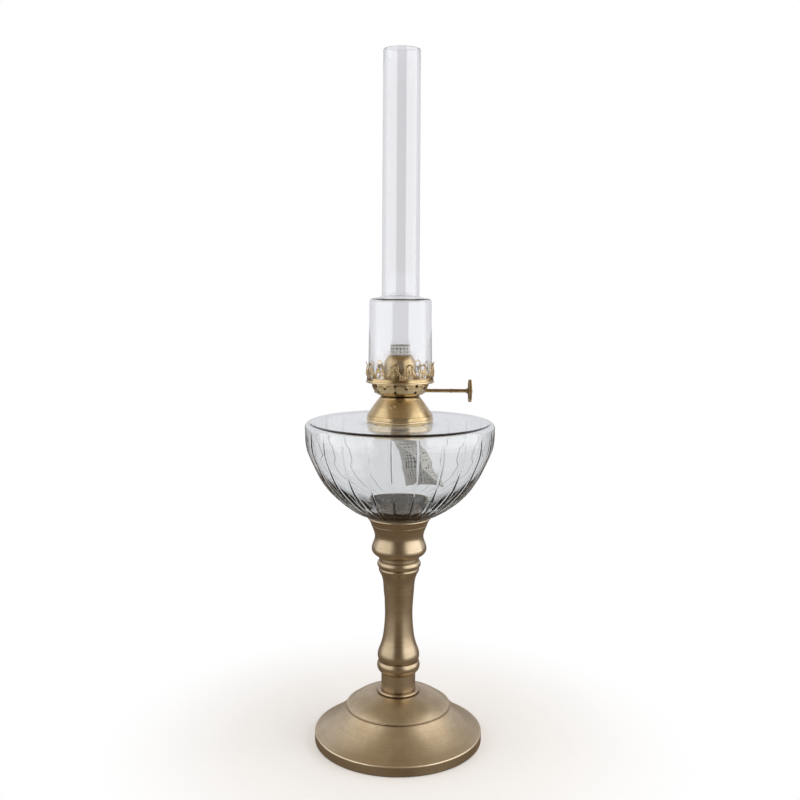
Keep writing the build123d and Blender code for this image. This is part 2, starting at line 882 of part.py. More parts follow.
with BuildPart() as spindle_bushes:
    bush_bore = spindle_radius + running_clearance
    for side in (-1, 1):
        collar_on_spindle(side * bush_centre - bush_length / 2, bush_length, bush_radius, bush_bore)
save(spindle_bushes, "spindle_bushes")

with BuildPart() as wick_wheels:
    for side in (-1, 1):
        with BuildSketch(spindle_plane.offset(side * wheel_spacing - wheel_width / 2)):
            with BuildLine():
                wheel_points = []
                for half_tooth in range(2 * wheel_teeth):
                    tip = wheel_radius if half_tooth % 2 == 0 else wheel_root_radius
                    turn = pi * half_tooth / wheel_teeth
                    wheel_points.append((tip * cos(turn), tip * sin(turn)))
                Polyline(*wheel_points, close=True)
            make_face()
            Circle(spindle_radius, mode=Mode.SUBTRACT)
        extrude(amount=wheel_width)
save(wick_wheels, "wick_wheels")

with BuildPart() as spindle_nub:
    with BuildSketch(spindle_plane.offset(nub_start)):
        Circle(nub_radius)
    extrude(amount=-nub_length)
    fillet(spindle_nub.edges().group_by(Axis.X)[0], radius=nub_length * 0.45)
save(spindle_nub, "spindle_nub")

with BuildPart() as spindle_ferrule:
    collar_on_spindle(ferrule_place, ferrule_length, ferrule_radius, spindle_radius)
    fillet(rims(spindle_ferrule, ferrule_radius), radius=0.15)
save(spindle_ferrule, "spindle_ferrule")

knob_face = spindle_reach + knob_thickness
with BuildPart() as knob:
    with BuildSketch(spindle_plane.offset(spindle_reach)):
        Circle(knob_radius)
    extrude(amount=knob_thickness)
    fillet(knob.edges().filter_by(GeomType.CIRCLE), radius=knob_thickness * 0.3)
    collar_on_spindle(spindle_reach - knob_hub_length, knob_hub_length, knob_hub_radius, spindle_radius)
save(knob, "knob")

with BuildPart() as knob_rivet:
    with BuildSketch(spindle_plane.offset(knob_face)):
        Circle(rivet_radius)
    extrude(amount=rivet_height)
    fillet(knob_rivet.edges().group_by(Axis.X)[-1], radius=rivet_height * 0.6)
save(knob_rivet, "knob_rivet")

# --- Chimney ---
shoulder_level = seat_level + chimney_barrel_height
shoulder_inner = shoulder_level - chimney_wall
tube_foot_level = shoulder_level + chimney_shoulder_rise
chimney_top = seat_level + chimney_height
with BuildPart() as chimney:
    with BuildSketch(Plane.XZ):
        with BuildLine():
            Polyline(
                (chimney_foot_radius, seat_level),
                (chimney_barrel_radius, shoulder_level),
                (chimney_tube_radius, tube_foot_level),
                (chimney_mouth_radius, chimney_top),
                (chimney_mouth_radius - chimney_wall, chimney_top),
                (chimney_tube_radius - chimney_wall, shoulder_inner),
                (chimney_barrel_radius - chimney_wall, shoulder_inner),
                (chimney_foot_radius - chimney_wall, seat_level),
                close=True,
            )
        make_face()
    revolve(axis=Axis.Z)
    fillet(rims(chimney, chimney_barrel_radius, shoulder_level), radius=chimney_corner)
    fillet(rims(chimney, chimney_barrel_radius - chimney_wall, shoulder_inner), radius=chimney_corner / 2)
    fillet(rims(chimney, chimney_tube_radius, tube_foot_level), radius=chimney_corner / 2)
    fillet(rims(chimney, chimney_tube_radius - chimney_wall, shoulder_inner), radius=chimney_corner)
    fillet(chimney.edges().group_by(Axis.Z)[-1], radius=chimney_wall * 0.4)
save(chimney, "chimney")

print("height", round(chimney_top, 2), "font radius", font_radius, "spindle level", round(spindle_level, 2))
print("seat", round(seat_level, 2), "dome top", round(dome_top, 2), "wick top", round(wick_top, 2))
print("rim", round(rim_bottom, 2), "cone", round(cone_level, 2), "basket", round(basket_level, 2))
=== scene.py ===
import json
from math import atan2, ceil, cos, exp, pi, radians, sin, sqrt, tan

import bmesh
import bpy
from mathutils import Matrix, Vector


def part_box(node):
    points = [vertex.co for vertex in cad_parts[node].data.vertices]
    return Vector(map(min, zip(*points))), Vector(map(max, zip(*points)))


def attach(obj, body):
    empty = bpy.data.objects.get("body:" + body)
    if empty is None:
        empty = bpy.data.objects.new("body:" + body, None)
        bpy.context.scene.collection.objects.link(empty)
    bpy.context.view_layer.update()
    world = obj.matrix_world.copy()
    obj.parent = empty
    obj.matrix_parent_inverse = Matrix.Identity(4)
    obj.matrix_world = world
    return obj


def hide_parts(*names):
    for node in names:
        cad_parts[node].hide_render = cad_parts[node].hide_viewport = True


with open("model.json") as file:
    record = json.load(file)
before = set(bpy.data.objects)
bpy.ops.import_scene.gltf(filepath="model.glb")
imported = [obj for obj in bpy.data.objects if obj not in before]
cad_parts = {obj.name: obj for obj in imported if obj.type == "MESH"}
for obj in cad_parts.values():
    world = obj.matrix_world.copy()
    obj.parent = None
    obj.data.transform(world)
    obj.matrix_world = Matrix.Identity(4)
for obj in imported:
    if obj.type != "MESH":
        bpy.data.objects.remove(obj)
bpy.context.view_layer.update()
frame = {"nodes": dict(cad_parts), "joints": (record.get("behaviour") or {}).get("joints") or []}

nodes = frame["nodes"]
scene = bpy.context.scene
mm = 0.001  # sizes below are in millimetres wherever they are multiplied by this
print("frame loaded:", len(nodes), "CAD nodes")


# Levels and radii read off the CAD nodes

def low(node):
    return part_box(node)[0].z


def high(node):
    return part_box(node)[1].z


def reach(node):
    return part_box(node)[1].y


joints = {joint["name"]: joint for joint in frame["joints"]}
winderPlace = Vector(joints["winder_turn"]["pos_m"])


# Shader graphs

class Wire:
    # one socket of a graph, which takes part in sums
    def __init__(self, graph, socket):
        self.graph = graph
        self.socket = socket

    def do(self, operation, first, *others):
        terms = dict(enumerate((first, *others)))
        return self.graph.node("ShaderNodeMath", {"operation": operation}, terms)

    def __add__(self, other):
        return self.do("ADD", self, other)

    def __radd__(self, other):
        return self.do("ADD", other, self)

    def __sub__(self, other):
        return self.do("SUBTRACT", self, other)

    def __rsub__(self, other):
        return self.do("SUBTRACT", other, self)

    def __mul__(self, other):
        return self.do("MULTIPLY", self, other)

    def __rmul__(self, other):
        return self.do("MULTIPLY", other, self)

    def __truediv__(self, other):
        return self.do("DIVIDE", self, other)

    def __pow__(self, other):
        return self.do("POWER", self, other)

    def root(self):
        return self.do("SQRT", self)

    def size(self):
        return self.do("ABSOLUTE", self)

    def wave(self):
        return self.do("SINE", self)

    def below(self, other):
        return self.do("MINIMUM", self, other)

    def above(self, other):
        return self.do("MAXIMUM", self, other)


class Graph:
    # the node tree of a material, the world or a geometry modifier
    def __init__(self, tree):
        self.tree = tree

    def node(self, kind, settings=None, inputs=None, out=0):
        made = self.tree.nodes.new(kind)
        for key, value in (settings or {}).items():
            if key == "stops":
                ramp = made.color_ramp
                while len(ramp.elements) < len(value):
                    ramp.elements.new(1.0)
                for element, (position, colour) in zip(ramp.elements, value):
                    element.position = position
                    element.color = (*colour, 1)
            else:
                setattr(made, key, value)
        for key, value in (inputs or {}).items():
            if isinstance(value, Wire):
                self.tree.links.new(value.socket, made.inputs[key])
            else:
                made.inputs[key].default_value = value
        return Wire(self, made.outputs[out]) if made.outputs else made

    def place(self):
        return self.node("ShaderNodeTexCoord", out="Object")

    def split(self, vector):
        return [self.node("ShaderNodeSeparateXYZ", None, {"Vector": vector}, out=axis) for axis in "XYZ"]

    def join(self, x, y, z):
        return self.node("ShaderNodeCombineXYZ", None, {"X": x, "Y": y, "Z": z})

    def noise(self, vector, scale, detail=2.0, roughness=0.5):
        values = {"Vector": vector, "Scale": scale, "Detail": detail, "Roughness": roughness}
        return self.node("ShaderNodeTexNoise", None, values)

    def ease(self, value, start, end):
        # 0 at start, 1 at end, smooth between
        values = {"Value": value, "From Min": start, "From Max": end}
        return self.node("ShaderNodeMapRange", {"interpolation_type": "SMOOTHSTEP"}, values)

    def blend(self, share, first, second):
        # colours given as triples or wires
        mix = self.tree.nodes.new("ShaderNodeMix")
        mix.data_type = "RGBA"
        for key, value in ((0, share), (6, first), (7, second)):
            if isinstance(value, Wire):
                self.tree.links.new(value.socket, mix.inputs[key])
            else:
                mix.inputs[key].default_value = value if key == 0 else (*value, 1)
        return Wire(self, mix.outputs[2])

    def bump(self, height, depth, under=None):
        values = {"Height": height, "Strength": 1.0, "Distance": depth}
        if under:
            values["Normal"] = under
        return self.node("ShaderNodeBump", None, values)

    def surface(self, values, volume=None):
        shader = self.node("ShaderNodeBsdfPrincipled", None, values)
        links = {"Surface": shader}
        if volume:
            links["Volume"] = self.node("ShaderNodeVolumeAbsorption", None, volume)
        self.node("ShaderNodeOutputMaterial", None, links)


def newFinish(name):
    material = bpy.data.materials.new(name)
    material.use_nodes = True
    material.node_tree.nodes.clear()
    return material, Graph(material.node_tree)


def brassFinish(name, look):
    # satin metal turned about the lamp's axis: tool lines, dull patches, pits, and rings of painted shade and painted
    # highlight
    material, graph = newFinish(name)
    spot = graph.place()
    x, y, z = graph.split(spot)
    radius = (x * x + y * y).root()
    turned = graph.noise(graph.join(radius, z, 0.0), look["linePitch"], 3.0, 0.65)
    broad = graph.noise(graph.join(radius, z, 0.0), look["linePitch"] * 0.12, 2.0)
    patch = graph.noise(spot, look["patchScale"], 4.0, 0.6)
    grain = graph.noise(spot, look["grainScale"], 2.0)
    dull = graph.ease(patch, 0.36, 0.68)
    colour = graph.blend(dull, look["bright"], look["dull"])
    colour = graph.blend(graph.ease(turned, 0.42, 0.75) * look["lineShade"], colour, look["dark"])
    colour = graph.blend(graph.ease(grain, 0.55, 0.8) * look["grainShade"], colour, look["dark"])
    rough = look["rough"] + (turned - 0.5) * 0.16 + (patch - 0.5) * 0.22
    normal = graph.bump(turned + broad * 1.5, look["lineDepth"])
    normal = graph.bump(grain, look["grainDepth"], normal)
    if "pitScale" in look:
        cell = graph.node("ShaderNodeTexVoronoi", None, {"Vector": spot, "Scale": look["pitScale"]}, out="Distance")
        where = graph.ease(graph.noise(spot, look["pitPatch"], 2.0), 0.47, 0.62)
        pit = (1 - graph.ease(cell, 0.06, 0.34)) * where
        colour = graph.blend(pit * 0.45, colour, look["dark"])
        normal = graph.bump(1 - pit, look["pitDepth"], normal)
        rough = rough - pit * 0.1
    for ringRadius, ringLevel, width, strength, tone in look.get("paintedShadeAndHighlightRings", ()):
        # a band around the lamp: painted shade in the crease where two pieces meet (dark tone), painted highlight along
        # a rounded edge (the pale tone, partly rubbed wear)
        away = ((radius - ringRadius * mm) ** 2 + (z - ringLevel * mm) ** 2).root()
        band = (1 - graph.ease(away, 0.15 * width * mm, width * mm)) * strength
        colour = graph.blend(band, colour, look[tone])
    graph.surface({
        "Base Color": colour, "Metallic": 1.0, "Roughness": rough.above(0.08).below(0.8), "Normal": normal,
    })
    return material


def plainMetal(name, look):
    # wire, screws and small turned parts that don't share the lamp's axis
    material, graph = newFinish(name)
    spot = graph.place()
    patch = graph.noise(spot, look["patchScale"], 4.0, 0.6)
    grain = graph.noise(spot, look["grainScale"], 2.0)
    colour = graph.blend(graph.ease(patch, 0.36, 0.66), look["bright"], look["dull"])
    colour = graph.blend(graph.ease(grain, 0.5, 0.8) * 0.5, colour, look["dark"])
    rough = look["rough"] + (patch - 0.5) * 0.3
    normal = graph.bump(grain, look["grainDepth"])
    graph.surface({
        "Base Color": colour, "Metallic": 1.0, "Roughness": rough.above(0.08).below(0.8), "Normal": normal,
    })
    return material


def chalkFinish(name, look):
    # plaster, rubber and other dull stuff
    material, graph = newFinish(name)
    spot = graph.place()
    grain = graph.noise(spot, look["grainScale"], 5.0, 0.65)
    colour = graph.blend(graph.ease(grain, 0.35, 0.65), look["pale"], look["dark"])
    graph.surface({
        "Base Color": colour, "Roughness": look["rough"] + (grain - 0.5) * 0.2,
        "Normal": graph.bump(grain, look["grainDepth"]),
    })
    return material


def glassFinish(name, look):
    # blown glass: faint waves in the surface and a tint that deepens where it is thick
    material, graph = newFinish(name)
    spot = graph.place()
    x, y, z = graph.split(spot)
    drawn = graph.noise(graph.join(x, y, z * look["drawnOut"]), look["waveScale"], 2.0)
    specks = graph.noise(spot, look["speckScale"], 2.0)
    smear = graph.ease(specks, 0.62, 0.8)
    graph.surface({
        "Base Color": (*look["clear"], 1), "Roughness": smear * look["smear"], "IOR": look["bend"],
        "Transmission Weight": 1.0, "Normal": graph.bump(drawn, look["waveDepth"]),
    }, {"Color": (*look["tint"], 1), "Density": look["density"]})
    return material


standLook = {
    "bright": (0.610, 0.505, 0.355), "dull": (0.470, 0.375, 0.250), "dark": (0.170, 0.112, 0.062),
    "rough": 0.33, "linePitch": 1500.0, "lineDepth": 0.000020, "lineShade": 0.30,
    "patchScale": 26.0, "grainScale": 1900.0, "grainDepth": 0.000018, "grainShade": 0.30,
    # pale tone of the painted highlights along rounded edges, partly rubbed wear; the rings below are painted shade in
    # creases (dark) and painted highlights on edges (pale)
    "wearAndPaintedLight": (0.780, 0.670, 0.500),
    "paintedShadeAndHighlightRings": [
        (70.4, 8.3, 1.3, 0.75, "wearAndPaintedLight"), (43.9, 29.7, 1.2, 0.75, "dark"), (42.6, 30.8, 1.0, 0.40, "wearAndPaintedLight"),
        (17.8, 41.8, 1.4, 0.60, "dark"), (14.5, 43.9, 1.3, 0.70, "dark"), (14.6, 59.3, 1.6, 0.75, "dark"),
        (16.6, 69.1, 1.2, 0.65, "dark"), (16.4, 149.4, 1.2, 0.60, "dark"),
        (16.6, 155.6, 1.4, 0.50, "dark"), (16.8, 158.5, 1.0, 0.45, "dark"), (26.2, 192.0, 1.1, 0.50, "wearAndPaintedLight"),
    ],
}
footLook = {**standLook, "pitScale": 900.0, "pitPatch": 34.0, "pitDepth": 0.00010, "rough": 0.38}
burnerLook = {
    "bright": (0.640, 0.500, 0.290), "dull": (0.500, 0.375, 0.200), "dark": (0.160, 0.095, 0.040),
    "rough": 0.27, "linePitch": 2600.0, "lineDepth": 0.000010, "lineShade": 0.30,
    "patchScale": 60.0, "grainScale": 2600.0, "grainDepth": 0.000008, "grainShade": 0.25,
    # pale tone of the painted highlights along rounded edges, partly rubbed wear; the rings below are painted shade in
    # creases (dark) and painted highlights on edges (pale)
    "wearAndPaintedLight": (0.820, 0.690, 0.470),
    "paintedShadeAndHighlightRings": [
        (17.0, 291.8, 0.9, 0.70, "wearAndPaintedLight"), (15.0, 292.0, 1.1, 0.80, "dark"), (26.9, 278.4, 0.8, 0.60, "dark"),
        (27.6, 274.2, 1.4, 0.55, "wearAndPaintedLight"), (24.0, 304.6, 1.0, 0.60, "dark"), (27.9, 305.7, 0.9, 0.60, "wearAndPaintedLight"),
    ],
}
innerLook = {**burnerLook, "rough": 0.34, "bright": (0.580, 0.440, 0.250), "paintedShadeAndHighlightRings": []}
winderLook = {
    "bright": (0.560, 0.430, 0.240), "dull": (0.400, 0.285, 0.150), "dark": (0.120, 0.075, 0.035),
    "rough": 0.33, "patchScale": 120.0, "grainScale": 3000.0, "grainDepth": 0.000008,
}
steelLook = {
    "bright": (0.560, 0.550, 0.530), "dull": (0.360, 0.340, 0.320), "dark": (0.120, 0.085, 0.060),
    "rough": 0.42, "patchScale": 90.0, "grainScale": 2200.0, "grainDepth": 0.000012,
}
cementLook = {"pale": (0.235, 0.240, 0.215), "dark": (0.120, 0.125, 0.110), "rough": 0.85, "grainScale": 320.0,
              "grainDepth": 0.00012}
sealLook = {"pale": (0.150, 0.105, 0.070), "dark": (0.070, 0.048, 0.032), "rough": 0.75, "grainScale": 900.0,
            "grainDepth": 0.00004}
fontLook = {
    "clear": (0.975, 0.985, 0.978), "tint": (0.62, 0.78, 0.68), "density": 16.0, "bend": 1.5, "drawnOut": 0.35,
    "waveScale": 22.0, "waveDepth": 0.00006, "speckScale": 700.0, "smear": 0.05,
}
chimneyLook = {
    "clear": (0.985, 0.990, 0.988), "tint": (0.66, 0.78, 0.74), "density": 10.0, "bend": 1.48, "drawnOut": 0.08,
    "waveScale": 50.0, "waveDepth": 0.00003, "speckScale": 900.0, "smear": 0.04,
}

castBrass = brassFinish("castBrass", footLook)
turnedBrass = brassFinish("turnedBrass", standLook)
burnerBrass = brassFinish("burnerBrass", burnerLook)
innerBrass = brassFinish("innerBrass", innerLook)
winderBrass = plainMetal("winderBrass", winderLook)
dullSteel = plainMetal("dullSteel", steelLook)
greyCement = chalkFinish("greyCement", cementLook)
darkSeal = chalkFinish("darkSeal", sealLook)
fontGlassFinish = glassFinish("fontGlassFinish", fontLook)
chimneyGlassFinish = glassFinish("chimneyGlassFinish", chimneyLook)

finishes = {
    "foot": castBrass,
    "foot_ring": turnedBrass, "column_sleeve": turnedBrass, "lower_ring": turnedBrass, "baluster": turnedBrass,
    "upper_ring": turnedBrass, "cup": turnedBrass,
    "tie_rod": dullSteel, "foot_washer": dullSteel, "foot_nut": dullSteel, "cup_washer": dullSteel,
    "cup_nut": dullSteel,
    "font": fontGlassFinish, "chimney": chimneyGlassFinish,
    "font_cement": greyCement, "collar_cement": greyCement, "seal_ring": darkSeal,
    "font_collar": burnerBrass, "burner_rim": burnerBrass, "burner_cone": burnerBrass, "cone_button": burnerBrass,
    "basket": burnerBrass, "gallery": burnerBrass, "crown": burnerBrass,
    "air_cone": innerBrass, "wick_tube": innerBrass, "air_tube": innerBrass, "spindle_bushes": winderBrass,
    "spindle": winderBrass, "wick_wheels": winderBrass, "spindle_nub": winderBrass,
    "spindle_ferrule": winderBrass, "knob": winderBrass, "knob_rivet": winderBrass,
}
for nodeName, finish in finishes.items():
    slots = nodes[nodeName].material_slots
    for slot in slots:
        slot.material = finish
print("finishes given to", len(finishes), "CAD nodes")


# Mesh tools

def newPiece(name, points, faces, finish=None):
    mesh = bpy.data.meshes.new(name)
    mesh.from_pydata([tuple(point) for point in points], [], faces)
    mesh.validate()
    piece = bpy.data.objects.new(name, mesh)
    scene.collection.objects.link(piece)
    if finish:
        mesh.materials.append(finish)
    return piece


def smooth(piece, angle):
    piece.data.shade_smooth()
    piece.data.set_sharp_from_angle(angle=radians(angle))


def tidyMesh(piece, gap):
    # weld, drop slivers and turn every face outwards
    work = bmesh.new()
    work.from_mesh(piece.data)
    bmesh.ops.remove_doubles(work, verts=work.verts, dist=gap)
    bmesh.ops.dissolve_degenerate(work, edges=work.edges, dist=gap * 0.1)
    bmesh.ops.recalc_face_normals(work, faces=work.faces)
    work.to_mesh(piece.data)
    work.free()


def curveThrough(points, steps):
    # smooth line through the points (centripetal Catmull-Rom), as a list of tuples
    ends = [tuple(2 * a - b for a, b in zip(points[0], points[1])),
            tuple(2 * a - b for a, b in zip(points[-1], points[-2]))]
    line = [ends[0], *points, ends[1]]
    found = []
    for first, second, third, fourth in zip(line, line[1:], line[2:], line[3:]):
        knots = [0.0]
        for a, b in ((first, second), (second, third), (third, fourth)):
            knots.append(knots[-1] + max(1e-6, sqrt(sum((p - q) ** 2 for p, q in zip(a, b)))) ** 0.5)

        def between(a, b, start, end, t):
            return tuple(((end - t) * p + (t - start) * q) / (end - start) for p, q in zip(a, b))

        for step in range(steps):
            t = knots[1] + (knots[2] - knots[1]) * step / steps
            ab = between(first, second, knots[0], knots[1], t)
            bc = between(second, third, knots[1], knots[2], t)
            cd = between(third, fourth, knots[2], knots[3], t)
            abc = between(ab, bc, knots[0], knots[2], t)
            bcd = between(bc, cd, knots[1], knots[3], t)
            found.append(between(abc, bcd, knots[1], knots[2], t))
    found.append(points[-1])
    return found


def corner(centre, radius, start, end, steps):
    # arc in the profile plane, angles in degrees from +radius
    return [
        (centre[0] + radius * cos(radians(start + (end - start) * step / steps)),
         centre[1] + radius * sin(radians(start + (end - start) * step / steps)))
        for step in range(steps + 1)
    ]


def sectorPiece(name, profile, angles, shift=None):
    # closed (radius, level) profile swept over some angles, open at both ends for the next sector to join
    points, faces = [], []
    count = len(profile)
    for angle in angles:
        for index, (radius, level) in enumerate(profile):
            if shift:
                radius, level = shift(index, radius, level, angle)
            points.append((radius * sin(angle) * mm, -radius * cos(angle) * mm, level * mm))
    for column in range(len(angles) - 1):
        for index in range(count):
            after = (index + 1) % count
            a, b = column * count + index, column * count + after
            faces.append((a, a + count, b + count, b))
    return newPiece(name, points, faces)


# Geometry Nodes tree that repeats a tile around the lamp's axis and welds the joins

def aroundTheAxis():
    tree = bpy.data.node_groups.new("aroundTheAxis", "GeometryNodeTree")
    tree.is_modifier = True
    sockets = (("Tile", "NodeSocketGeometry"), ("Count", "NodeSocketInt"), ("Weld", "NodeSocketFloat"),
               ("Finish", "NodeSocketMaterial"))
    for name, kind in sockets:
        tree.interface.new_socket(name, in_out="INPUT", socket_type=kind)
    tree.interface.new_socket("Whole", in_out="OUTPUT", socket_type="NodeSocketGeometry")
    graph = Graph(tree)
    given = tree.nodes.new("NodeGroupInput")
    tile, count, weld, finish = [Wire(graph, given.outputs[name]) for name, kind in sockets]
    row = graph.node("GeometryNodeMeshLine", {"mode": "OFFSET"}, {"Count": count, "Offset": (0, 0, 0)})
    turn = graph.node("GeometryNodeInputIndex") * (2 * pi) / count
    spread = graph.node("GeometryNodeInstanceOnPoints", None, {
        "Points": row, "Instance": tile, "Rotation": graph.join(0.0, 0.0, turn),
    })
    real = graph.node("GeometryNodeRealizeInstances", None, {"Geometry": spread})
    joined = graph.node("GeometryNodeMergeByDistance", None, {"Geometry": real, "Distance": weld})
    coated = graph.node("GeometryNodeSetMaterial", None, {"Geometry": joined, "Material": finish})
    graph.node("NodeGroupOutput", None, {0: coated})
    return tree


radialTree = aroundTheAxis()


def repeatAround(tile, count, weld, finish, angle):
    # the tile becomes one plain mesh of count copies
    tile.data.materials.clear()
    modifier = tile.modifiers.new("around", "NODES")
    modifier.node_group = radialTree
    named = {item.name: item.identifier for item in radialTree.interface.items_tree if item.in_out == "INPUT"}
    modifier[named["Count"]] = count
    modifier[named["Weld"]] = weld
    modifier[named["Finish"]] = finish
    graph = bpy.context.evaluated_depsgraph_get()
    mesh = bpy.data.meshes.new_from_object(tile.evaluated_get(graph))
    tile.modifiers.remove(modifier)
    tile.data = mesh
    tidyMesh(tile, weld)
    smooth(tile, angle)
    return tile


# Ribbed glass font

fontShape = {
    "ribs": 24, "ribStart": -4.4, "ribWidth": 1.5, "ribHeight": 0.40, "panelDip": 0.06,
    "ribTop": 74.9, "ribTaper": 4.9, "sides": 14,
    "shoulder": 4.6, "wall": 2.6, "neck": 24.6, "neckHeight": 3.0, "mouth": 22.2,
    "peg": 13.8, "pegLength": 16.5,
}
# outside and inside of the bowl: radius, height above its seat
bowlOutside = [
    (24.5, 0.0), (30.83, 2.08), (36.81, 5.03), (42.42, 8.62), (47.75, 12.63), (52.77, 17.01), (57.42, 21.79),
    (61.6, 26.99), (65.24, 32.57), (68.39, 38.45), (71.22, 44.49), (73.88, 50.6), (76.31, 56.81), (77.59, 63.34),
    (77.9, 70.0),
]
bowlInside = [
    (75.3, 70.0), (74.75, 63.1), (73.18, 56.35), (70.93, 49.8), (68.25, 43.41), (64.99, 37.3), (61.04, 31.61),
    (56.42, 26.46), (51.34, 21.74), (45.96, 17.38), (40.34, 13.32), (34.32, 9.92), (27.66, 8.04), (20.78, 7.26),
    (13.86, 6.94), (6.93, 6.83), (0.0, 6.8),
]


def makeFont():
    shape = fontShape
    seat = low("font") / mm + shape["pegLength"]
    wide = reach("font") / mm
    top = high("font") / mm - shape["neckHeight"] - seat
    inner = wide - shape["wall"]
    outside = curveThrough(bowlOutside, 4)
    count = len(outside)
    profile = [*outside]
    profile += corner((wide - shape["shoulder"], top - shape["shoulder"]), shape["shoulder"], 0, 90, 8)
    for share in (0.25, 0.5, 0.75):
        profile.append((wide - shape["shoulder"] - share * (wide - shape["shoulder"] - shape["neck"]), top))
    profile += corner((shape["neck"] + 1.2, top + 1.2), 1.2, 270, 180, 4)
    profile += corner((shape["neck"] - 0.8, top + shape["neckHeight"] - 0.8), 0.8, 0, 90, 3)
    profile += corner((shape["mouth"] + 0.6, top + shape["neckHeight"] - 0.6), 0.6, 90, 180, 3)
    ceiling = top - shape["wall"]
    profile += corner((shape["mouth"] + 1.4, ceiling + 1.4), 1.4, 180, 270, 4)
    bend = shape["shoulder"] - shape["wall"]
    for share in (0.25, 0.5, 0.75):
        profile.append((shape["mouth"] + 1.4 + share * (inner - bend - shape["mouth"] - 1.4), ceiling))
    profile += corner((inner - bend, ceiling - bend), bend, 90, 0, 8)
    profile += curveThrough(bowlInside, 3)
    profile += [(0.0, -shape["pegLength"])]
    profile += corner((shape["peg"] - 0.8, -shape["pegLength"] + 0.8), 0.8, 270, 360, 3)
    profile += corner((shape["peg"] + 0.8, -0.8), 0.8, 180, 90, 3)
    profile = [(radius, level + seat) for radius, level in profile]

    def ribbed(index, radius, level, angle):
        if index >= count:
            return radius, level
        rise = level - seat
        fade = min(1.0, max(0.0, (shape["ribTop"] - rise) / shape["ribTaper"])) * min(1.0, rise / 4.0)
        half = shape["ribWidth"] / 2 * (0.7 + 0.3 * radius / wide)
        away = abs(angle * radius)
        crest = exp(-((away / half) ** 2) * 1.4)
        panel = sin(min(1.0, abs(angle) / (pi / shape["ribs"])) * pi / 2) ** 2
        dip = shape["ribHeight"] * (1 - crest) + shape["panelDip"] * panel
        ahead, behind = outside[min(index + 1, count - 1)], outside[max(index - 1, 0)]
        slope = atan2(ahead[1] - behind[1], ahead[0] - behind[0])
        return radius - dip * fade * sin(slope), level + dip * fade * cos(slope)

    half = pi / shape["ribs"]
    side = [half * (step / shape["sides"]) ** 2.2 for step in range(shape["sides"] + 1)]
    angles = [-angle for angle in reversed(side[1:])] + side
    tile = sectorPiece("fontGlass", profile, angles, ribbed)
    tile.data.transform(Matrix.Rotation(radians(shape["ribStart"]), 4, "Z"))
    return repeatAround(tile, shape["ribs"], 2e-6, fontGlassFinish, 60)


fontGlass = makeFont()
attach(fontGlass, "stand")
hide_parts("font")
print("font blown:", len(fontGlass.data.polygons), "faces")


# Chimney

chimneyShape = {
    "foot": 26.2, "barrel": 25.3, "barrelHeight": 67.4, "tube": 15.3, "mouth": 14.95, "wall": 1.5,
    "shoulderBend": 3.0, "shoulderRise": 0.8, "throatBend": 2.2, "segments": 96, "waver": 0.06,
}


def makeChimney():
    shape = chimneyShape
    start, top = low("chimney") / mm, high("chimney") / mm
    wall = shape["wall"]
    shoulder = start + shape["barrelHeight"]
    bend, throat = shape["shoulderBend"], shape["throatBend"]
    outside = [(shape["foot"], start + wall / 2)]
    outside += [(shape["foot"] + (shape["barrel"] - shape["foot"]) * share, start + share * 50)
                for share in (0.25, 0.5, 0.75, 1.0)]
    outside += corner((shape["barrel"] - bend, shoulder - bend), bend, 0, 86, 8)
    outside += corner((shape["tube"] + throat, shoulder + shape["shoulderRise"] + throat), throat, 266, 180, 7)
    tube = top - shoulder - shape["shoulderRise"] - throat
    outside += [(shape["tube"] + (shape["mouth"] - shape["tube"]) * share, shoulder + shape["shoulderRise"]
                 + throat + share * (tube - wall / 2)) for share in (0.2, 0.4, 0.6, 0.8, 1.0)]
    rim = corner((shape["mouth"] - wall / 2, top - wall / 2), wall / 2, 0, 180, 8)[1:]
    inside = [(shape["mouth"] - wall + (shape["tube"] - shape["mouth"]) * share, top - wall / 2 - share
               * (tube - wall / 2)) for share in (0.2, 0.4, 0.6, 0.8, 1.0)]
    inside += corner((shape["tube"] + throat, shoulder + shape["shoulderRise"] + throat), throat + wall, 180, 266, 7)[1:]
    inside += corner((shape["barrel"] - bend, shoulder - bend), bend - wall, 86, 0, 8)
    inside += [(shape["barrel"] - wall + (shape["foot"] - shape["barrel"]) * share, start + (1 - share) * 50)
               for share in (0.0, 0.25, 0.5, 0.75)]
    foot = corner((shape["foot"] - wall / 2, start + wall / 2), wall / 2, 180, 360, 8)[:-1]
    profile = outside + rim + inside + foot

    def wavering(index, radius, level, angle):
        # the drawn wall is never quite even
        return radius - shape["waver"] * (1 + sin(3 * angle + level * 0.02) * sin(2 * angle - level * 0.031)) / 2, level

    angles = [2 * pi * step / shape["segments"] for step in range(shape["segments"] + 1)]
    piece = sectorPiece("chimneyGlass", profile, angles, wavering)
    piece.data.materials.append(chimneyGlassFinish)
    tidyMesh(piece, 2e-6)
    smooth(piece, 60)
    return piece


chimneyGlass = makeChimney()
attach(chimneyGlass, "chimney")
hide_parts("chimney")
print("chimney drawn:", len(chimneyGlass.data.polygons), "faces")


# Pressed sheet: a tile cut out along a line of zero distance, with a back and edges

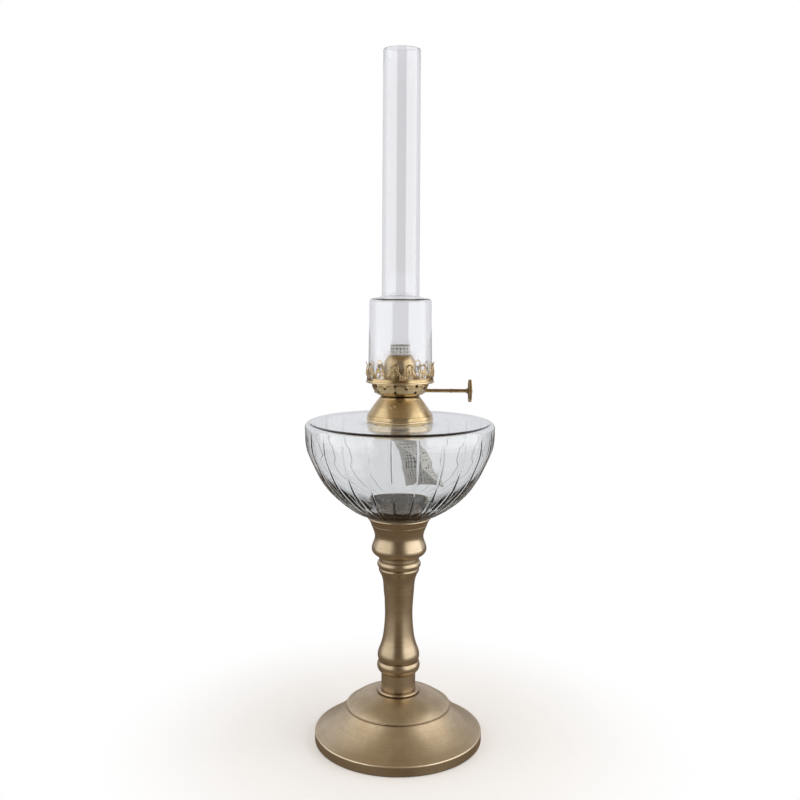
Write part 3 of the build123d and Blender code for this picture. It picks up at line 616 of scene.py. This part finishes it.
def pressTile(name, columns, rows, metal, place, thickness, openSides=True):
    depth = {}
    for i, u in enumerate(columns):
        for j, v in enumerate(rows):
            value = metal(u, v)
            depth[i, j] = value if abs(value) > 1e-4 else 1e-4
    spots, index = [], {}

    def spot(key):
        if key not in index:
            if len(key) == 2:
                i, j = key
                spots.append((columns[i], rows[j], depth[key]))
            else:
                a, b = key[:2], key[2:]
                share = depth[a] / (depth[a] - depth[b])
                u = columns[a[0]] + share * (columns[b[0]] - columns[a[0]])
                v = rows[a[1]] + share * (rows[b[1]] - rows[a[1]])
                spots.append((u, v, 0.0))
            index[key] = len(spots) - 1
        return index[key]

    faces = []
    for i in range(len(columns) - 1):
        for j in range(len(rows) - 1):
            around = [(i, j), (i + 1, j), (i + 1, j + 1), (i, j + 1)]
            outline = []
            for a, b in zip(around, around[1:] + around[:1]):
                if depth[a] > 0:
                    outline.append(spot(a))
                if (depth[a] > 0) != (depth[b] > 0):
                    outline.append(spot((*min(a, b), *max(a, b))))
            if len(outline) > 2:
                faces.append(tuple(outline))
    total = len(spots)
    points = [place(u, v, d, 0.0) for u, v, d in spots] + [place(u, v, d, thickness) for u, v, d in spots]
    uses = {}
    for face in faces:
        for a, b in zip(face, face[1:] + face[:1]):
            uses[a, b] = True
    left, right = columns[0] + 1e-6, columns[-1] - 1e-6
    walls = []
    for a, b in uses:
        if (b, a) in uses:
            continue
        sides = [spots[a][0], spots[b][0]]
        if openSides and (max(sides) < left or min(sides) > right):
            continue
        walls.append((b, a, a + total, b + total))
    backs = [tuple(total + a for a in reversed(face)) for face in faces]
    return newPiece(name, points, faces + backs + walls)


def spaced(start, end, step):
    count = max(1, ceil((end - start) / step))
    return [start + (end - start) * index / count for index in range(count + 1)]


def nearLine(line, u, v):
    # distance to a line of (u, v) points, and how far along it the nearest place is
    best, along, run = 1e9, 0.0, 0.0
    for a, b in zip(line, line[1:]):
        du, dv = b[0] - a[0], b[1] - a[1]
        length = du * du + dv * dv
        share = max(0.0, min(1.0, ((u - a[0]) * du + (v - a[1]) * dv) / length)) if length else 0.0
        away = sqrt((u - a[0] - share * du) ** 2 + (v - a[1] - share * dv) ** 2)
        if away < best:
            best, along = away, run + share
        run += 1
    return best, along / run


def softest(values, soft):
    # largest of several depths with their corners filled, as a stamped sheet has
    top = max(values)
    return top + soft * sum(exp((value - top) / soft) for value in values if value > top - 6 * soft) ** 1.0 - soft


# Crown of pierced prongs

crownShape = {
    "prongs": 14, "sheet": 0.6, "band": 3.3, "height": 16.2, "step": 0.27, "soft": 0.12, "roundOver": 0.30,
    "start": -9.5,
}
# half of one prong, unrolled: millimetres from its middle, above the gallery
strandLines = [
    ([(4.15, 2.4), (4.55, 4.4), (4.40, 6.4), (3.55, 8.2), (2.50, 9.5), (2.15, 10.6), (2.60, 11.9), (2.70, 13.2),
      (1.95, 14.5), (0.90, 15.0), (0.0, 15.6)], 0.68),
    ([(0.0, 10.0), (1.10, 9.9), (2.40, 9.9)], 0.55),
    ([(0.0, 8.6), (0.0, 10.4)], 0.75),
]
curlLine = ([(-3.9, 5.2), (-2.6, 4.3), (-1.2, 4.7), (-0.9, 6.1), (0.3, 7.2), (1.9, 7.0), (3.1, 7.6), (2.2, 8.7)], 0.48)
leafLine = ([(0.0, 2.8), (0.0, 7.8)], 0.80)  # between two prongs, counted from the tile's side


def makeCrown():
    shape = crownShape
    round_ = reach("crown") / mm - 0.9
    base = low("crown") / mm
    half = pi * round_ / shape["prongs"]
    strands = [(curveThrough(points, 3), width) for points, width in strandLines]
    curl = curveThrough(curlLine[0], 4)

    def metal(u, v):
        side = abs(u)
        depths = [shape["band"] - v]
        for line, width in strands:
            away, along = nearLine(line, side, v)
            depths.append(width - away)
        away, along = nearLine(curl, u, v)
        depths.append(curlLine[1] - away)
        away, along = nearLine(leafLine[0], half - side, v)
        depths.append(leafLine[1] * (1 - 0.75 * along) - away)
        return softest(depths, shape["soft"])

    bulge = curveThrough([(0.0, 0.0), (0.0, 3.4), (0.55, 5.4), (0.85, 7.4), (0.45, 10.6), (0.10, 12.4), (0.35, 14.4),
                          (0.95, 16.2)], 6)

    def place(u, v, depth, back):
        after = next(i for i in range(1, len(bulge)) if bulge[i][1] >= min(v, shape["height"] - 1e-4))
        a, b = bulge[after - 1], bulge[after]
        out = a[0] + (b[0] - a[0]) * (v - a[1]) / (b[1] - a[1])
        lift = shape["roundOver"] * (1 - max(0.0, 1 - depth / 0.5) ** 2) - shape["roundOver"] if v > shape["band"] else 0
        radius = round_ + out + (lift if back == 0.0 else -back)
        angle = u / round_
        return Vector((radius * sin(angle), -radius * cos(angle), base + v)) * mm

    tile = pressTile("crownProngs", spaced(-half, half, shape["step"]), spaced(0.0, shape["height"], shape["step"]),
                     metal, place, shape["sheet"])
    tile.data.transform(Matrix.Rotation(radians(shape["start"]), 4, "Z"))
    return repeatAround(tile, shape["prongs"], 3e-6, burnerBrass, 50)


crownProngs = makeCrown()
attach(crownProngs, "burner")
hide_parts("crown")
print("crown stamped:", len(crownProngs.data.polygons), "faces")


# Basket with embossed air holes

basketShape = {
    "columns": 8, "start": -10.0, "sheet": 0.6, "step": 0.30, "diamondWidth": 2.9, "diamondHeight": 3.1, "dot": 1.15,
    "lip": 0.30, "lipWidth": 0.70, "upper": 0.87, "lower": 0.42, "middle": 0.66, "inner": 9.15,
}


def makeBasket():
    shape = basketShape
    bottom, top = low("basket") / mm, high("basket") / mm
    wide = reach("basket") / mm
    height = top - bottom
    foot = 14.3
    line = [(shape["inner"], bottom + 0.02), (11.0, bottom + 0.02), (12.9, bottom + 0.05)]
    line += curveThrough([(foot, bottom + 0.45), (foot + 2.3, bottom + 1.15), (foot + 0.5 * (wide - foot), bottom + 0.185 * height),
                          (foot + 0.69 * (wide - foot), bottom + 0.33 * height), (foot + 0.87 * (wide - foot), bottom + 0.58 * height),
                          (wide - 0.15, bottom + 0.88 * height), (wide, top)], 5)
    run = [0.0]
    for a, b in zip(line, line[1:]):
        run.append(run[-1] + sqrt((b[0] - a[0]) ** 2 + (b[1] - a[1]) ** 2))

    def outline(v):
        after = next((i for i in range(1, len(run)) if run[i] >= v), len(run) - 1)
        a, b = line[after - 1], line[after]
        share = (v - run[after - 1]) / (run[after] - run[after - 1])
        return a[0] + share * (b[0] - a[0]), a[1] + share * (b[1] - a[1]), (b[0] - a[0], b[1] - a[1])

    def levelRun(share):
        level = bottom + share * height
        return next(run[i] for i in range(len(line)) if line[i][1] >= level)

    half = pi / shape["columns"]
    uppers, lowers, middles = [levelRun(shape[key]) for key in ("upper", "lower", "middle")]

    def metal(angle, v):
        radius = outline(v)[0]
        found = [9.0]
        for centre, places in ((0.0, (uppers, lowers)), (-half, (middles,)), (half, (middles,))):
            across = abs(angle - centre) * radius
            for middle in places:
                along = abs(v - middle)
                if centre == 0.0:
                    w, h = shape["diamondWidth"] / 2, shape["diamondHeight"] / 2
                    away = ((across / w) ** 1.25 + (along / h) ** 1.25) ** 0.8 - 1
                    found.append(away / sqrt(1 / w ** 2 + 1 / h ** 2))
                else:
                    found.append(sqrt(across ** 2 + along ** 2) - shape["dot"])
        return min(found)

    def place(angle, v, depth, back):
        radius, level, along = outline(v)
        length = sqrt(along[0] ** 2 + along[1] ** 2)
        out = (along[1] / length, -along[0] / length)
        lip = shape["lip"] * exp(-((max(0.0, depth) - 0.15) / shape["lipWidth"] * 1.6) ** 2) - back
        radius, level = radius + out[0] * lip, max(level + out[1] * lip, bottom + 0.01)
        return Vector((radius * sin(angle), -radius * cos(angle), level)) * mm

    tile = pressTile("airBasket", spaced(-half, half, shape["step"] / 21), spaced(0.0, run[-1] - 1e-6, shape["step"]),
                     metal, place, shape["sheet"])
    tile.data.transform(Matrix.Rotation(radians(shape["start"]), 4, "Z"))
    return repeatAround(tile, shape["columns"], 3e-6, burnerBrass, 50)


airBasket = makeBasket()
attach(airBasket, "burner")
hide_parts("basket")
print("basket pierced:", len(airBasket.data.polygons), "faces")


# Rolled lip at the top of the cone

trimShape = {"coneLip": 15.9, "coneBead": 0.60, "segments": 144}


def bead(name, radius, level, thick):
    profile = corner((radius, level), thick, 0, 360, 12)[:-1]
    angles = [2 * pi * step / trimShape["segments"] for step in range(trimShape["segments"] + 1)]
    piece = sectorPiece(name, profile, angles)
    piece.data.materials.append(burnerBrass)
    tidyMesh(piece, 2e-6)
    smooth(piece, 80)
    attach(piece, "burner")
    return piece


bead("coneLip", trimShape["coneLip"], high("burner_cone") / mm - 0.9, trimShape["coneBead"])


# Winder knob

knobShape = {"reeds": 54, "reedDepth": 0.28, "segments": 3, "dish": 0.45, "rimWidth": 1.5, "hub": 2.3,
             "thick": 2.4}


def makeKnob():
    shape = knobShape
    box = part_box("knob")
    wide = (box[1].y - box[0].y) / 2 / mm
    back, front = box[0].x / mm, box[1].x / mm
    thick = shape["thick"]
    face = front - thick
    inner = wide - shape["rimWidth"]
    profile = [(0.0, face + thick - shape["dish"]), (inner - 0.9, face + thick - shape["dish"])]
    profile += corner((inner, face + thick - 0.35), 0.35, 150, 90, 3)
    profile += corner((wide - 0.5, face + thick - 0.5), 0.5, 90, 0, 4)
    profile += corner((wide - 0.5, face + 0.5), 0.5, 0, -90, 4)
    profile += [(inner, face), (inner - 0.7, face + 0.3), (shape["hub"] + 0.5, face + 0.3), (shape["hub"], face)]
    profile += [(shape["hub"], back + 0.4), (shape["hub"] - 0.4, back), (1.5, back), (0.0, back)]

    def reeded(index, radius, level, angle):
        if radius < wide - 0.35:
            return radius, level
        return radius - shape["reedDepth"] * (abs(angle) * shape["reeds"] / pi) ** 1.5, level

    half = pi / shape["reeds"]
    angles = [half * step / shape["segments"] for step in range(-shape["segments"], shape["segments"] + 1)]
    tile = sectorPiece("winderKnob", profile, angles, reeded)
    knob = repeatAround(tile, shape["reeds"], 2e-6, winderBrass, 35)
    turned = Matrix.Translation((0, winderPlace.y, winderPlace.z)) @ Matrix.Rotation(pi / 2, 4, "Y")
    knob.data.transform(turned)
    return knob


winderKnob = makeKnob()
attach(winderKnob, "winder")
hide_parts("knob")
print("knob turned:", len(winderKnob.data.polygons), "faces")


# Round wick: one woven tape, closed to a ring in the tube and open to a channel below

wickShape = {
    "middle": 7.3, "thick": 1.7, "top": 335.0, "seamTop": 320.0, "ringBottom": 258.6, "tail": 45.0,
    "tailRadius": 15.6, "tailOpening": 188.0, "towards": 250.0, "driftX": 21.0, "driftY": 4.0,
    "seam": 5.8, "across": 96, "along": 280, "stitches": 17, "courses": 46, "leanShare": 0.6, "relief": 0.16, "wave": 0.4,
    "slitLength": 26.0, "slitWidth": 11.0,
}


def cottonFinish(look):
    material, graph = newFinish("wickCotton")
    flat = graph.node("ShaderNodeUVMap", {"uv_map": "tape"})
    u, v, w = graph.split(flat)
    spot = graph.place()
    stray = graph.noise(spot, 420.0, 2.0) * 1.6
    slant = u * (pi * look["stitches"]) + v * (pi * look["courses"]) + stray
    counter = u * (pi * look["stitches"]) - v * (pi * look["courses"]) + stray
    # near-black colour in the gaps between stitches, shown in patches: painted shade in the stitch gaps
    gaps = graph.ease(slant.wave() * counter.wave(), 0.25, 0.65)
    wearAndPaintedLight = graph.ease(graph.noise(spot, 260.0, 3.0, 0.7), 0.34, 0.56)
    fibre = graph.noise(spot, 2600.0, 3.0)
    edge = graph.ease((u - 0.5).size(), 0.44, 0.47)
    colour = graph.blend(graph.ease(fibre, 0.35, 0.7), look["cotton"], look["shade"])
    colour = graph.blend(gaps * wearAndPaintedLight * (1 - edge), colour, look["gap"])
    graph.surface({
        "Base Color": colour, "Roughness": 0.92, "Sheen Weight": 0.2,
        "Normal": graph.bump(fibre - gaps * 2, 0.00012),
    })
    return material


# gap: near-black painted shade in the stitch gaps
cottonLook = {"stitches": 17, "courses": 46, "cotton": (0.93, 0.92, 0.90), "shade": (0.80, 0.78, 0.75),
              "gap": (0.035, 0.026, 0.020)}


def slitShare(down):
    # width of the slit down its length, as a share of its widest
    if not 0 < down < 1:
        return 0.0
    return 0.5 + 0.5 * down / 0.6 if down < 0.6 else sqrt((1 - down) / 0.4)


def makeWick():
    shape = wickShape
    flatWidth = 2 * pi * shape["middle"]
    ring = shape["top"] - shape["ringBottom"]
    rows, columns = shape["along"], shape["across"]
    points, lengths = [], [0.0]
    middle = None
    for row in range(rows + 1):
        share = row / rows
        run = share * (ring + shape["tail"])
        level = shape["top"] - run
        fall = max(0.0, (run - ring) / shape["tail"])
        lean = fall ** shape["leanShare"]
        if level > shape["seamTop"]:
            sweep, bend, towards = 359.0, shape["middle"], 180.0
            opened = 0.0
        else:
            opened = min(1.0, (shape["seamTop"] - level) / 3.0)
            sweep = 359.0 - opened * shape["seam"] / shape["middle"] * 180 / pi
            bend, towards = shape["middle"], 180.0
        if fall > 0:
            sweep += lean * (360 - shape["tailOpening"] - sweep)
            bend += lean * (shape["tailRadius"] - bend)
            towards += lean * (shape["towards"] - towards)
        cx, cy = lean * shape["driftX"], lean * shape["driftY"]
        ripple = shape["wave"] * min(1.0, 3 * fall)
        start = towards + (360 - sweep) / 2
        for column in range(columns + 1):
            across = column / columns
            angle = radians(start + sweep * across)
            stitch = sin(pi * (shape["stitches"] * across + shape["courses"] * share)) * sin(
                pi * (shape["stitches"] * across - shape["courses"] * share))
            radius = bend - shape["relief"] * stitch + ripple * sin(9 * share * pi + 5 * across)
            points.append((cx + radius * cos(angle), cy + radius * sin(angle), level))
    faces = []
    for row in range(rows):
        drop = (row + 0.5) / rows * (ring + shape["tail"]) - ring - 1
        gap = slitShare(drop / shape["slitLength"]) * shape["slitWidth"] / flatWidth
        for column in range(columns):
            if abs((column + 0.5) / columns - 0.5) < gap / 2:
                continue
            a = row * (columns + 1) + column
            faces.append((a, a + columns + 1, a + columns + 2, a + 1))
    piece = newPiece("wickTape", [Vector(point) * mm for point in points], faces, cottonFinish(cottonLook))
    flat = piece.data.uv_layers.new(name="tape")
    for loop in piece.data.loops:
        row, column = divmod(loop.vertex_index, columns + 1)
        flat.data[loop.index].uv = (column / columns, row / rows)
    thick = piece.modifiers.new("thickness", "SOLIDIFY")
    thick.thickness = shape["thick"] * mm
    thick.offset = 0
    piece.data.shade_smooth()
    return piece, (flatWidth * mm, (ring + shape["tail"] * 1.10) * mm)


wickTape, wickFlat = makeWick()
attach(wickTape, "wick")
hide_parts("wick")
print("wick woven:", len(wickTape.data.polygons), "faces")


# Studio: floor (pale to the camera, painted shade in reflections), two tall soft boxes, a pale surround and the camera

studio = {
    "floorSize": 8.0, "floorGap": 0.0002, "floorTone": 0.86, "floorGlow": 0.25, "shadeNear": 0.085, "shadeFar": 0.26,
    "boxWidth": 1.5, "boxHeight": 1.7, "boxAngle": 69.0, "boxDistance": 0.95, "boxLevel": 0.55,
    "leftPower": 9.5, "rightPower": 13.5,
    "white": (1.0, 1.0, 1.0), "behind": (0.740, 0.735, 0.775), "front": (0.110, 0.073, 0.040),
    "ceiling": (0.340, 0.270, 0.185), "floorShadeInReflections": (0.30, 0.25, 0.20),
    "lens": 44.19, "sensor": 36.0, "tilt": 83.22, "roll": 0.35, "cameraPlace": (0.0, -0.800, 0.385),
}


def layFloor():
    size = studio["floorSize"]
    count = 24
    points, faces = [(0.0, 0.0, -studio["floorGap"])], []
    for ring in range(1, 5):
        for step in range(count):
            angle = 2 * pi * step / count
            points.append((size * ring / 4 * cos(angle), size * ring / 4 * sin(angle), -studio["floorGap"]))
    for step in range(count):
        after = (step + 1) % count
        faces.append((0, 1 + step, 1 + after))
        for ring in range(3):
            a, b = 1 + ring * count + step, 1 + ring * count + after
            faces.append((a, a + count, b + count, b))
    material, graph = newFinish("floorWhite")
    spot = graph.place()
    x, y, z = graph.split(spot)
    far = graph.ease((x * x + y * y).root(), studio["shadeNear"], studio["shadeFar"])
    tone = studio["floorTone"]
    seen = graph.node("ShaderNodeLightPath", out="Is Camera Ray")
    through = graph.node("ShaderNodeLightPath", out="Is Transmission Ray")
    cloth = graph.noise(spot, 900.0, 2.0)
    pale = graph.blend(cloth, (tone, tone, tone), (tone + 0.02, tone + 0.02, tone + 0.02))
    # the camera sees the floor pale with a glow; reflections and bounces see a dark brown tone, painted shade; rays
    # through the glass see the surround's pale tone as a glow
    matt = graph.node("ShaderNodeBsdfPrincipled", None, {
        "Base Color": graph.blend(seen, studio["floorShadeInReflections"], pale), "Roughness": 0.9,
        "Emission Color": (1, 1, 1, 1), "Emission Strength": seen * studio["floorGlow"],
    })
    lit = graph.node("ShaderNodeEmission", None, {"Color": (1, 1, 1, 1), "Strength": 1.0})
    glow = graph.node("ShaderNodeEmission", None, {"Color": (*studio["behind"], 1), "Strength": 1.0})
    bare = graph.node("ShaderNodeMixShader", None, {0: far * seen, 1: matt, 2: lit})
    shown = graph.node("ShaderNodeMixShader", None, {0: through, 1: bare, 2: glow})
    graph.node("ShaderNodeOutputMaterial", None, {"Surface": shown})
    floor = newPiece("floorSheet", points, faces, material)


def lightBox(name, place, aim, width, height, power):
    light = bpy.data.lights.new(name, "AREA")
    light.shape = "RECTANGLE"
    light.size, light.size_y = width, height
    light.energy = power
    lamp = bpy.data.objects.new(name, light)
    scene.collection.objects.link(lamp)
    lamp.location = place
    lamp.rotation_euler = (Vector(aim) - Vector(place)).to_track_quat("-Z", "Y").to_euler()
    lamp.visible_camera = False


def setSurround():
    world = bpy.data.worlds.new("paleRoom")
    scene.world = world
    world.use_nodes = True
    world.node_tree.nodes.clear()
    graph = Graph(world.node_tree)
    x, y, z = graph.split(graph.node("ShaderNodeTexCoord", out="Generated"))
    room = graph.blend(graph.ease(y, -0.10, 0.45), studio["front"], studio["behind"])
    room = graph.blend(graph.ease(z, 0.45, 0.90), room, studio["ceiling"])
    seen = graph.node("ShaderNodeLightPath", out="Is Camera Ray")
    colour = graph.blend(seen, room, studio["white"])
    back = graph.node("ShaderNodeBackground", None, {"Color": colour, "Strength": 1.0})
    graph.node("ShaderNodeOutputWorld", None, {"Surface": back})


def setCamera():
    camera = bpy.data.cameras.new("photoCamera")
    camera.lens = studio["lens"]
    camera.sensor_width = studio["sensor"]
    camera.clip_start = 0.01
    shooter = bpy.data.objects.new("photoCamera", camera)
    scene.collection.objects.link(shooter)
    shooter.location = studio["cameraPlace"]
    stance = Matrix.Rotation(radians(studio["tilt"]), 4, "X") @ Matrix.Rotation(radians(studio["roll"]), 4, "Z")
    shooter.rotation_euler = stance.to_euler()
    scene.camera = shooter


layFloor()
for side, name, power in ((-1, "leftBox", studio["leftPower"]), (1, "rightBox", studio["rightPower"])):
    swing = radians(studio["boxAngle"])
    spot = (side * studio["boxDistance"] * sin(swing), -studio["boxDistance"] * cos(swing), studio["boxLevel"])
    lightBox(name, spot, (0, 0, studio["boxLevel"]), studio["boxWidth"], studio["boxHeight"], power)
setSurround()
setCamera()
scene.view_settings.view_transform = "Standard"
print("studio set")
